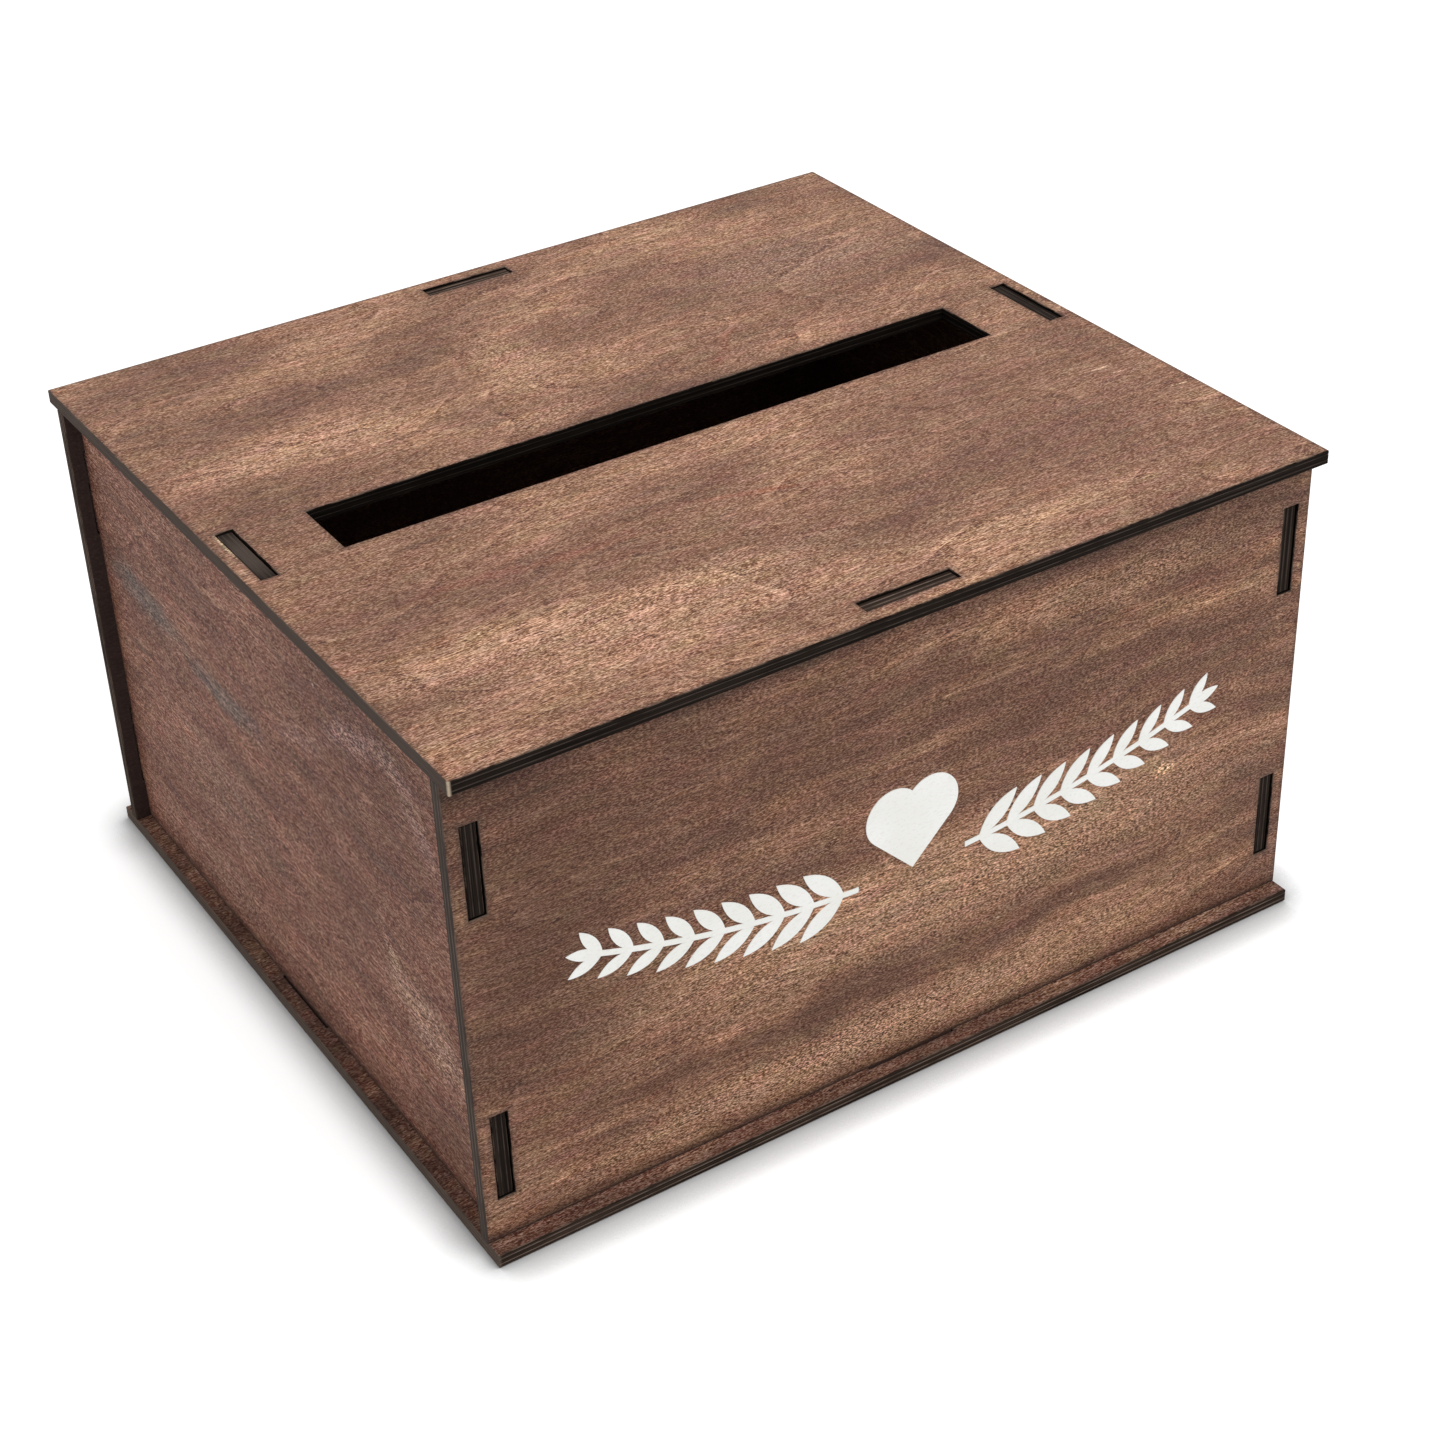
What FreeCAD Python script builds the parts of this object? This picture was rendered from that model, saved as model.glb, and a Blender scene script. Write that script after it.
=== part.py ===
import FreeCAD, Part
import math
import os
import Sketcher
from FreeCAD import Placement, Rotation, Vector

# A flat-pack wedding card box of stained plywood: a base, four walls and a lift-off lid. Tabs on the
# boards go through slots in their neighbours, and a thin white ornament lies on the front wall.
# Millimetres. +Z is up, the front faces -Y, and the origin is the middle of the underside.

doc = FreeCAD.newDocument("card_box")

# Driving sizes
SIZES = (
    ("box_width", "292.1", "lid and base, left to right"),
    ("box_depth", "266.7", "lid and base, front to back"),
    ("box_height", "165.1", "underside of the base to the top of the lid"),
    ("ply_thickness", "4.5", "every board"),
    ("front_inset", "5.8", "edge of the base to the outer face of the front and back walls"),
    ("side_inset", "5", "edge of the base to the outer face of the side walls"),
    ("card_slot_length", "228.6", "card slot in the lid, left to right"),
    ("card_slot_width", "25.4", "card slot in the lid, front to back"),
    ("edge_tab_length", "30.5", "tabs on top of and below each wall"),
    ("side_tab_length", "29", "upright tabs on the ends of the side walls"),
    ("side_tab_margin", "15", "top or foot of a side wall to its nearest upright tab"),
    ("tab_recess", "0.5", "end of a tab to the outer face of the board that it goes through"),
    ("slot_side_gap", "0.45", "tab to the long side of its slot"),
    ("slot_end_gap", "0.4", "tab to the short side of its slot"),
    ("ornament_thickness", "0.25", "white layer on the front wall"),
    ("heart_side", "19", "side of the square that the heart is drawn on"),
    ("heart_rise", "4", "middle of the front wall up to the widest part of the heart"),
    ("spray_drop", "10", "middle of the front wall down to the low point of the stems' arc"),
    ("spray_radius", "340", "arc that both stems follow"),
    ("spray_start", "19", "middle of the front wall to the inner end of a stem"),
    ("spray_end", "108", "middle of the front wall to the outer end of a stem"),
    ("stem_width", "1.8", "stem of a spray"),
    ("leaf_pairs", "9", "pairs of leaves on a stem"),
    ("leaf_length", "19", "leaf nearest to the heart"),
    ("tip_leaf_length", "11.5", "leaf at the outer end of a stem"),
    ("leaf_width", "6", "leaf nearest to the heart"),
    ("leaf_angle", "38", "degrees between a leaf and its stem"),
)

sheet = doc.addObject("Spreadsheet::Sheet", "Sizes")
for row, (alias, value, meaning) in enumerate(SIZES, start=1):
    sheet.set(f"A{row}", meaning)
    sheet.set(f"B{row}", value)
    sheet.setAlias(f"B{row}", alias)
doc.recompute()

# Places that the boards share, as expressions of the driving sizes
HALF_WIDTH = "Sizes.box_width / 2"
HALF_DEPTH = "Sizes.box_depth / 2"
PLY = "Sizes.ply_thickness"
WALL_HALF_HEIGHT = "(Sizes.box_height / 2 - Sizes.ply_thickness)"
WALL_MIDDLE = "Sizes.box_height / 2"
FRONT_FACE = "(Sizes.box_depth / 2 - Sizes.front_inset)"
SIDE_FACE = "(Sizes.box_width / 2 - Sizes.side_inset)"
TAB_REACH = "(Sizes.ply_thickness - Sizes.tab_recess)"
EDGE_TAB_HALF = "Sizes.edge_tab_length / 2"
SIDE_TAB_OUTER = f"({WALL_HALF_HEIGHT} - Sizes.side_tab_margin)"
SIDE_TAB_INNER = f"({SIDE_TAB_OUTER} - Sizes.side_tab_length)"


def four_fold(quarter):
    """Corners of an outline that is the same left and right, above and below."""
    backwards = quarter[::-1]
    corners = list(quarter)
    corners += [(f"-({across})", up) for across, up in backwards]
    corners += [(f"-({across})", f"-({up})") for across, up in quarter]
    corners += [(across, f"-({up})") for across, up in backwards]
    return corners


def draw_outline(sketch, corners):
    """Closed outline of level and upright lines in turn, the first one level."""
    points = [Vector(*(sketch.evalExpression(place) for place in corner), 0) for corner in corners]
    first = sketch.GeometryCount
    count = len(corners)
    for step, point in enumerate(points):
        sketch.addGeometry(Part.LineSegment(point, points[(step + 1) % count]), False)
    for step, (across, up) in enumerate(corners):
        line = first + step
        following = first + (step + 1) % count
        sketch.addConstraint(Sketcher.Constraint("Coincident", line, 2, following, 1))
        if step % 2 == 0:
            sketch.addConstraint(Sketcher.Constraint("Horizontal", line))
            place = Sketcher.Constraint("DistanceY", -1, 1, line, 1, points[step].y)
            expression = up
        else:
            sketch.addConstraint(Sketcher.Constraint("Vertical", line))
            place = Sketcher.Constraint("DistanceX", -1, 1, line, 1, points[step].x)
            expression = across
        sketch.setExpression(f"Constraints[{sketch.addConstraint(place)}]", expression)


def draw_slot(sketch, left, right, low, high):
    """Rectangular hole between four places."""
    draw_outline(sketch, [(left, low), (right, low), (right, high), (left, high)])


def draw_slot_pair(sketch, near, far, low, high):
    """Two rectangular holes, mirrored left and right, from near to far of the middle."""
    draw_slot(sketch, near, far, low, high)
    draw_slot(sketch, f"-({far})", f"-({near})", low, high)


def draw_edge_slots(sketch):
    """Slots at the middle of a lid's or base's four edges, round the walls' tabs."""
    half_length = f"({EDGE_TAB_HALF} + Sizes.slot_end_gap)"
    inner = f"({SIDE_FACE} - {PLY} - Sizes.slot_side_gap)"
    outer = f"({SIDE_FACE} + Sizes.slot_side_gap)"
    draw_slot_pair(sketch, inner, outer, f"-{half_length}", half_length)
    inner = f"({FRONT_FACE} - {PLY} - Sizes.slot_side_gap)"
    outer = f"({FRONT_FACE} + Sizes.slot_side_gap)"
    draw_slot(sketch, f"-{half_length}", half_length, inner, outer)
    draw_slot(sketch, f"-{half_length}", half_length, f"-{outer}", f"-{inner}")


def start_board(name, plane):
    """Body with an empty sketch on one of its own origin planes."""
    body = doc.addObject("PartDesign::Body", name)
    body.Label = name
    sketch = body.newObject("Sketcher::SketchObject", f"{name}_outline")
    support = next(item for item in body.Origin.OriginFeatures if item.Role == plane)
    sketch.AttachmentSupport = (support, [""])
    sketch.MapMode = "FlatFace"
    return body, sketch


def cut_board(body, sketch, **places):
    """Give the drawn outline the thickness of the plywood and put the board in its place."""
    pad = body.newObject("PartDesign::Pad", f"{body.Name}_board")
    pad.Profile = sketch
    pad.setExpression("Length", PLY)
    sketch.Visibility = False
    for axis, place in places.items():
        body.setExpression(f"Placement.Base.{axis}", place)
    return body


def level_board(name, height, card_slot):
    """Lid or base: a rectangle with four edge slots, and the card slot in the lid."""
    body, sketch = start_board(name, "XY_Plane")
    draw_outline(sketch, four_fold([(HALF_WIDTH, HALF_DEPTH)]))
    draw_edge_slots(sketch)
    if card_slot:
        half_length = "Sizes.card_slot_length / 2"
        half_width = "Sizes.card_slot_width / 2"
        draw_outline(sketch, four_fold([(half_length, half_width)]))
    return cut_board(body, sketch, z=height)


def front_or_back_wall(name, rear_face):
    """Full-width wall with a tab above and below, and slots for the side walls' upright tabs."""
    body, sketch = start_board(name, "XZ_Plane")
    draw_outline(sketch, four_fold([
        (HALF_WIDTH, WALL_HALF_HEIGHT),
        (EDGE_TAB_HALF, WALL_HALF_HEIGHT),
        (EDGE_TAB_HALF, f"{WALL_HALF_HEIGHT} + {TAB_REACH}"),
    ]))
    near = f"({SIDE_FACE} - {PLY} - Sizes.slot_side_gap)"
    far = f"({SIDE_FACE} + Sizes.slot_side_gap)"
    low = f"({SIDE_TAB_INNER} - Sizes.slot_end_gap)"
    high = f"({SIDE_TAB_OUTER} + Sizes.slot_end_gap)"
    draw_slot_pair(sketch, near, far, low, high)
    draw_slot_pair(sketch, near, far, f"-{high}", f"-{low}")
    return cut_board(body, sketch, y=rear_face, z=WALL_MIDDLE)


def side_wall(name, left_face):
    """Wall between the front and back walls, with two tabs on each end, one above and one below."""
    body, sketch = start_board(name, "YZ_Plane")
    end = f"({FRONT_FACE} - {PLY})"
    draw_outline(sketch, four_fold([
        (end, SIDE_TAB_INNER),
        (f"{end} + {TAB_REACH}", SIDE_TAB_INNER),
        (f"{end} + {TAB_REACH}", SIDE_TAB_OUTER),
        (end, SIDE_TAB_OUTER),
        (end, WALL_HALF_HEIGHT),
        (EDGE_TAB_HALF, WALL_HALF_HEIGHT),
        (EDGE_TAB_HALF, f"{WALL_HALF_HEIGHT} + {TAB_REACH}"),
    ]))
    return cut_board(body, sketch, x=left_face, z=WALL_MIDDLE)


def size(alias):
    """One driving size as a number."""
    return float(sheet.get(alias))


def leaf_face(length):
    """Pointed leaf from the origin along +X: two arcs that meet at both ends."""
    half_width = size("leaf_width") / 2 * length / size("leaf_length")
    base = Vector(0, 0, 0)
    tip = Vector(length, 0, 0)
    upper = Part.Arc(base, Vector(length / 2, half_width, 0), tip).toShape()
    lower = Part.Arc(tip, Vector(length / 2, -half_width, 0), base).toShape()
    return Part.Face(Part.Wire([upper, lower]))


def stem_point(angle, radius):
    """Point of a stem's arc, at an angle from its low point."""
    low_point = -size("spray_drop")
    centre_height = low_point + size("spray_radius")
    return Vector(radius * math.sin(angle), centre_height - radius * math.cos(angle), 0)


def stem_face(start, end):
    """Band of even width along the stem's arc."""
    inner = size("spray_radius") - size("stem_width") / 2
    outer = size("spray_radius") + size("stem_width") / 2
    middle = (start + end) / 2
    above = Part.Arc(*(stem_point(angle, inner) for angle in (start, middle, end))).toShape()
    below = Part.Arc(*(stem_point(angle, outer) for angle in (end, middle, start))).toShape()
    outer_end = Part.LineSegment(stem_point(end, inner), stem_point(end, outer)).toShape()
    inner_end = Part.LineSegment(stem_point(start, outer), stem_point(start, inner)).toShape()
    return Part.Face(Part.Wire([above, outer_end, below, inner_end]))


def spray(layer):
    """Right-hand spray: a stem, pairs of leaves that grow smaller outwards, and one leaf at its tip."""
    radius = size("spray_radius")
    start = math.asin(size("spray_start") / radius)
    end = math.asin(size("spray_end") / radius)
    pairs = int(size("leaf_pairs"))
    first_length = size("leaf_length")
    last_length = size("tip_leaf_length")
    places = []
    for pair in range(pairs):
        share = (pair + 0.5) / pairs
        places += [(share, -size("leaf_angle")), (share, size("leaf_angle"))]
    places.append((share, 0))
    leaves = []
    for share, turn in places:
        leaf = leaf_face(first_length + (last_length - first_length) * share)
        angle = start + (end - start) * share
        turned = Rotation(Vector(0, 0, 1), math.degrees(angle) + turn)
        leaf.Placement = Placement(stem_point(angle, radius), turned)
        leaves.append(leaf.extrude(layer))
    return stem_face(start, end).extrude(layer).multiFuse(leaves).removeSplitter()


def heart_face():
    """Heart on a square that stands on its corner, with a half circle on each upper side."""
    side = size("heart_side")
    corner = side / math.sqrt(2)
    rise = size("heart_rise")
    tip = Vector(0, rise - corner, 0)
    right = Vector(corner, rise, 0)
    notch = Vector(0, rise + corner, 0)
    left = Vector(-corner, rise, 0)
    right_lobe = Part.Arc(right, Vector(corner, rise + corner, 0), notch).toShape()
    left_lobe = Part.Arc(notch, Vector(-corner, rise + corner, 0), left).toShape()
    right_line = Part.LineSegment(tip, right).toShape()
    left_line = Part.LineSegment(left, tip).toShape()
    return Part.Face(Part.Wire([right_line, right_lobe, left_lobe, left_line]))


def front_ornament(name):
    """White layer in three pieces: two mirrored sprays and the heart between them."""
    layer = Vector(0, 0, size("ornament_thickness"))
    right_spray = spray(layer)
    left_spray = right_spray.mirror(Vector(0, 0, 0), Vector(1, 0, 0))
    heart = heart_face().extrude(layer)
    ornament = doc.addObject("Part::Feature", name)
    ornament.Label = name
    ornament.Shape = Part.makeCompound(right_spray.Solids + left_spray.Solids + [heart])
    front_face = size("box_depth") / 2 - size("front_inset")
    upright = Rotation(Vector(1, 0, 0), 90)
    ornament.Placement = Placement(Vector(0, -front_face, size("box_height") / 2), upright)
    return ornament


# The boards, from the ground up
nodes = [
    level_board("base_panel", "0", card_slot=False),
    front_or_back_wall("front_panel", f"{PLY} - {FRONT_FACE}"),
    front_or_back_wall("back_panel", FRONT_FACE),
    side_wall("left_panel", f"-{SIDE_FACE}"),
    side_wall("right_panel", f"{SIDE_FACE} - {PLY}"),
    level_board("lid_panel", f"Sizes.box_height - {PLY}", card_slot=True),
    front_ornament("front_ornament"),
]
doc.recompute()

# Every feature and shape has to be sound before anything is written
for item in doc.Objects:
    if "Invalid" in item.State or "Error" in item.State:
        raise RuntimeError(f"{item.Label} failed: {item.State}")
for node in nodes:
    if node.Shape.isNull() or not node.Shape.isValid():
        raise RuntimeError(f"{node.Label} has no sound shape")

os.makedirs("parts", exist_ok=True)
for node in nodes:
    node.Shape.exportStep(f"parts/{node.Label}.step")
    box = node.Shape.BoundBox
    corners = (box.XMin, box.YMin, box.ZMin, box.XMax, box.YMax, box.ZMax)
    print(node.Label, len(node.Shape.Solids), round(node.Shape.Volume, 1), [round(value, 3) for value in corners])
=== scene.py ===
import math

import bmesh
import bpy
from mathutils import Matrix, Vector


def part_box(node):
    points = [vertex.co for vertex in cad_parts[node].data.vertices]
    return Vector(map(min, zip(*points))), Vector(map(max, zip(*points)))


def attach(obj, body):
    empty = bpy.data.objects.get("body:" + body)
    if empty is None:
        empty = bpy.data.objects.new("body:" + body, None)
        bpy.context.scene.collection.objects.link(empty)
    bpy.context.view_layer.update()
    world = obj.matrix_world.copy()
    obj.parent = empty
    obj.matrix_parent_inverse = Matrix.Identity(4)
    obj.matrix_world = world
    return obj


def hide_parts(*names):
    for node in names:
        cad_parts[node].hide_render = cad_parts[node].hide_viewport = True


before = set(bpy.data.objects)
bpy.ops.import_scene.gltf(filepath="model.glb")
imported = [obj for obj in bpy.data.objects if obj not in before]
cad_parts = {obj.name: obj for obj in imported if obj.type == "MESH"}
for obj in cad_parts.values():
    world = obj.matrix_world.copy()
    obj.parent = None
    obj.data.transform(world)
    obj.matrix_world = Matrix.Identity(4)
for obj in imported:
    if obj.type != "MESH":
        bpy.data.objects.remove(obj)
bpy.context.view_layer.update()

# Base board: the sheet of stained plywood that the box stands on, cut by laser, which chars its edges.
# A slot at the middle of each edge takes a lower tab of the wall above it. Nothing is glued or screwed.

base_low, base_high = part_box("base_panel")
ply = base_high.z - base_low.z
half_width = base_high.x
half_depth = base_high.y
edge_tab_half = 0.0305 / 2
slot_end_gap = 0.0004
slot_side_gap = 0.00045
side_wall_low, side_wall_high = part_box("right_panel")
front_wall_low, front_wall_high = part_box("front_panel")
side_wall_middle = (side_wall_low.x + side_wall_high.x) / 2
front_wall_middle = -(front_wall_low.y + front_wall_high.y) / 2
glue_lines = (0.30, 0.70)
whole_board = 600


def slot_loop(middle_u, middle_v, half_u, half_v):
    """Corners of a slot, clockwise, so that the wood is on the left all the way round."""
    left, right = middle_u - half_u, middle_u + half_u
    lower, upper = middle_v - half_v, middle_v + half_v
    return [(left, lower), (left, upper), (right, upper), (right, lower)]


def wall_tab_slots():
    """The four slots, one at the middle of each edge, that take the walls' tabs."""
    long_half = edge_tab_half + slot_end_gap
    thick_half = ply / 2 + slot_side_gap
    slots = []
    for side in (-1, 1):
        slots.append(slot_loop(side * side_wall_middle, 0, thick_half, long_half))
        slots.append(slot_loop(0, side * front_wall_middle, long_half, thick_half))
    return slots


def set_in(loop, distance):
    """The loop moved into the wood on its left. All of a board's corners are square."""
    moved = []
    for number, (u, v) in enumerate(loop):
        before_u, before_v = loop[number - 1]
        after_u, after_v = loop[(number + 1) % len(loop)]
        arrive = math.hypot(u - before_u, v - before_v)
        leave = math.hypot(after_u - u, after_v - v)
        inward_u = -(v - before_v) / arrive - (after_v - v) / leave
        inward_v = (u - before_u) / arrive + (after_u - u) / leave
        moved.append((u + inward_u * distance, v + inward_v * distance))
    return moved


def cut_board(name, outline, slots, low, high, layout, face_materials, edge_materials):
    """A board cut through by laser: both faces, worn corners, and cut edges with a groove at each glue line.
    layout names the axes along the grain, across it and through the board. face_materials are the finishes
    of its lower and upper face along the last axis, and edge_materials those of its outline and slots."""
    worn_corner = 0.00022
    soot_reach = 0.0022
    glue_depth = 0.00010
    glue_half = 0.00012
    thick = high - low
    levels = [(soot_reach, 0.0, 0.0), (worn_corner, 0.0, 1.0), (0.0, worn_corner, 1.0)]
    for share in glue_lines:
        glue = thick * share
        levels += [(0.0, glue - glue_half, 1.0), (glue_depth, glue, 1.0), (0.0, glue + glue_half, 1.0)]
    levels += [(0.0, thick - worn_corner, 1.0), (worn_corner, thick, 1.0), (soot_reach, thick, 0.0)]
    lower_face, upper_face, open_edge, slot_edge = range(4)
    rim_finish = {0: lower_face, len(levels) - 2: upper_face}
    solid = bmesh.new()
    soot = solid.verts.layers.float.new("soot")
    face_edges = {0: [], len(levels) - 1: []}
    for loop in [outline] + slots:
        rings = []
        for inset, height, sooty in levels:
            ring = []
            for u, v in set_in(loop, inset):
                place = dict(zip(layout, (u, v, low + height)))
                vert = solid.verts.new((place["x"], place["y"], place["z"]))
                vert[soot] = sooty
                ring.append(vert)
            rings.append(ring)
        for number in range(len(levels) - 1):
            lower, upper = rings[number], rings[number + 1]
            finish = rim_finish.get(number, open_edge if loop is outline else slot_edge)
            for corner in range(len(loop)):
                after = (corner + 1) % len(loop)
                quad = solid.faces.new((lower[corner], lower[after], upper[after], upper[corner]))
                quad.material_index = finish
        for level, edges in face_edges.items():
            ring = rings[level]
            for corner in range(len(loop)):
                edges.append(solid.edges.get((ring[corner], ring[(corner + 1) % len(loop)])))
    for finish, edges in zip((lower_face, upper_face), face_edges.values()):
        filled = bmesh.ops.triangle_fill(solid, use_beauty=True, use_dissolve=False, edges=edges)
        for part in filled["geom"]:
            if isinstance(part, bmesh.types.BMFace):
                part.material_index = finish
    bmesh.ops.recalc_face_normals(solid, faces=solid.faces)
    mesh = bpy.data.meshes.new(name)
    solid.to_mesh(mesh)
    solid.free()
    for material in (*face_materials, *edge_materials):
        mesh.materials.append(material)
    board = bpy.data.objects.new(name, mesh)
    bpy.context.scene.collection.objects.link(board)
    return board


def paint(red, green, blue):
    """A colour as a screen shows it, 0 to 255, made linear for a shader."""
    linear = []
    for value in (red, green, blue):
        share = value / 255
        linear.append(share / 12.92 if share <= 0.04045 else ((share + 0.055) / 1.055) ** 2.4)
    return (*linear, 1.0)


def put(tree, kind, inputs=None, **settings):
    """Adds a node, sets it up, and gives each named input a value or a link."""
    node = tree.nodes.new(kind)
    for name, value in settings.items():
        setattr(node, name, value)
    for name, value in (inputs or {}).items():
        if isinstance(value, bpy.types.NodeSocket):
            tree.links.new(value, node.inputs[name])
        else:
            node.inputs[name].default_value = value
    return node


def calc(tree, operation, first, second=0.0, third=0.0):
    """One sum of a shader or geometry tree."""
    node = put(tree, "ShaderNodeMath", {0: first, 1: second, 2: third}, operation=operation)
    return node.outputs[0]


def vector_calc(tree, operation, first, second):
    return put(tree, "ShaderNodeVectorMath", {0: first, 1: second}, operation=operation).outputs["Vector"]


def scaled(tree, vector, share):
    node = put(tree, "ShaderNodeVectorMath", {0: vector, "Scale": share}, operation="SCALE")
    return node.outputs["Vector"]


def ease(tree, value, from_low, from_high, to_low=0.0, to_high=1.0):
    """Value taken smoothly from one range to another, held at both ends."""
    node = put(tree, "ShaderNodeMapRange", {"Value": value, "From Min": from_low, "From Max": from_high,
               "To Min": to_low, "To Max": to_high}, interpolation_type="SMOOTHSTEP")
    return node.outputs["Result"]


def blend_colour(tree, share, under, over):
    node = put(tree, "ShaderNodeMix", {0: share}, data_type="RGBA", blend_type="MIX")
    for socket, value in ((node.inputs[6], under), (node.inputs[7], over)):
        if isinstance(value, bpy.types.NodeSocket):
            tree.links.new(value, socket)
        else:
            socket.default_value = value
    return node.outputs[2]


def new_group(name, inputs, outputs):
    """An empty shader group with named inputs and outputs."""
    group = bpy.data.node_groups.new(name, "ShaderNodeTree")
    for label, value in inputs.items():
        kind = "NodeSocketVector" if value is None else "NodeSocketFloat"
        socket = group.interface.new_socket(label, in_out="INPUT", socket_type=kind)
        if value is not None:
            socket.default_value = value
    for label in outputs:
        group.interface.new_socket(label, in_out="OUTPUT", socket_type="NodeSocketFloat")
    return group, put(group, "NodeGroupInput").outputs, put(group, "NodeGroupOutput").inputs


def stretched(tree, vector, along, across):
    """Grain coordinates divided by a length along the grain and a width across it."""
    along_share = calc(tree, "DIVIDE", 1.0, along)
    across_share = calc(tree, "DIVIDE", 1.0, across)
    sizes = put(tree, "ShaderNodeCombineXYZ", {0: along_share, 1: across_share, 2: across_share}).outputs[0]
    return vector_calc(tree, "MULTIPLY", vector, sizes)


def swayed(tree, vector, scale, reach):
    """Coordinates pushed about by soft noise, so that a pattern sways as grain does."""
    drift = put(tree, "ShaderNodeTexNoise", {"Vector": vector, "Scale": scale, "Detail": 2.0})
    centred = vector_calc(tree, "SUBTRACT", drift.outputs["Color"], (0.5, 0.5, 0.5))
    return vector_calc(tree, "ADD", vector, scaled(tree, centred, reach))


def noise(tree, vector, detail, roughness, distortion=0.0):
    node = put(tree, "ShaderNodeTexNoise", {"Vector": vector, "Scale": 1.0, "Detail": detail,
               "Roughness": roughness, "Distortion": distortion})
    return node.outputs[0]


def make_veneer_figure():
    """Broad cloudy patches, thin growth rings, long streaks and fine fibres of a rotary-cut veneer."""
    sizes = {"Vector": None, "Patch Length": 0.1, "Patch Width": 0.03, "Sway": 0.02}
    group, given, out = new_group("veneer_figure", sizes, ("Tone", "Rings", "Streaks", "Fibres"))
    sways_per_metre = 13.0
    ring_size = (0.42, 0.42, 0.42)
    ring_count = 13.0
    streak_length, streak_width = 0.075, 0.0016
    fibre_length, fibre_width = 0.013, 0.00085
    half = (0.5, 0.5, 0.5)
    bent = swayed(group, given["Vector"], sways_per_metre, given["Sway"])
    patch = stretched(group, bent, given["Patch Length"], given["Patch Width"])
    group.links.new(noise(group, patch, 6.0, 0.62), out["Tone"])
    ring_field = noise(group, vector_calc(group, "MULTIPLY", patch, ring_size), 1.0, 0.4)
    ring = calc(group, "FRACT", calc(group, "MULTIPLY", ring_field, ring_count))
    line = calc(group, "SUBTRACT", ease(group, ring, 0.16, 0.0), ease(group, ring, 0.80, 0.98))
    straighter = vector_calc(group, "MULTIPLY", vector_calc(group, "ADD", bent, given["Vector"]), half)
    streak = noise(group, stretched(group, straighter, streak_length, streak_width), 3.0, 0.6)
    group.links.new(calc(group, "MULTIPLY", line, ease(group, streak, 0.35, 0.65)), out["Rings"])
    group.links.new(streak, out["Streaks"])
    fibre = noise(group, stretched(group, straighter, fibre_length, fibre_width), 1.0, 0.6)
    group.links.new(fibre, out["Fibres"])
    return group


def make_fibre_flecks():
    """Short light and dark wood fibres that lie along the grain."""
    sizes = {"Vector": None, "Fleck Length": 0.0022, "Fleck Width": 0.0005, "Wander": 0.5}
    group, given, out = new_group("fibre_flecks", sizes, ("Fleck", "Dark"))
    sized = stretched(group, given["Vector"], given["Fleck Length"], given["Fleck Width"])
    fleck = noise(group, sized, 1.0, 0.7, given["Wander"])
    group.links.new(fleck, out["Fleck"])
    group.links.new(ease(group, fleck, 0.47, 0.30), out["Dark"])
    return group


def make_stain_and_light_mark():
    """One soft-edged patch of stain, or of painted light or shade, at a place of its own."""
    sizes = {"Vector": None, "Along": 0.0, "Across": 0.0, "Half Length": 0.03, "Half Width": 0.01,
             "Tilt": 0.0}
    group, given, out = new_group("stain_and_light_mark", sizes, ("Mask",))
    outer_edge, inner_edge = 1.25, 0.2
    middle = put(group, "ShaderNodeCombineXYZ", {0: given["Along"], 1: given["Across"]}).outputs[0]
    from_middle = vector_calc(group, "SUBTRACT", given["Vector"], middle)
    level = put(group, "ShaderNodeVectorRotate", {"Vector": from_middle,
                "Angle": calc(group, "MULTIPLY", given["Tilt"], -1.0)}, rotation_type="Z_AXIS")
    flat = vector_calc(group, "MULTIPLY", level.outputs[0], (1.0, 1.0, 0.0))
    sized = stretched(group, flat, given["Half Length"], given["Half Width"])
    distance = put(group, "ShaderNodeVectorMath", {0: sized}, operation="LENGTH").outputs["Value"]
    group.links.new(ease(group, distance, outer_edge, inner_edge), out["Mask"])
    return group


def make_dust_specks():
    """A few tiny pale specks and torn fibres, far apart."""
    sizes = {"Vector": None, "Spacing": 0.009, "Share": 0.2, "Size": 0.06}
    group, given, out = new_group("dust_specks", sizes, ("Mask",))
    drawn_out = 1.7
    speck_core = 0.4
    spacing_along = calc(group, "MULTIPLY", given["Spacing"], drawn_out)
    cell = stretched(group, given["Vector"], spacing_along, given["Spacing"])
    dots = put(group, "ShaderNodeTexVoronoi", {"Vector": cell, "Scale": 1.0})
    lot = put(group, "ShaderNodeSeparateColor", {0: dots.outputs["Color"]}).outputs[0]
    chosen = calc(group, "LESS_THAN", lot, given["Share"])
    core = calc(group, "MULTIPLY", given["Size"], speck_core)
    near = ease(group, dots.outputs["Distance"], given["Size"], core)
    group.links.new(calc(group, "MULTIPLY", chosen, near), out["Mask"])
    return group


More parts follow.
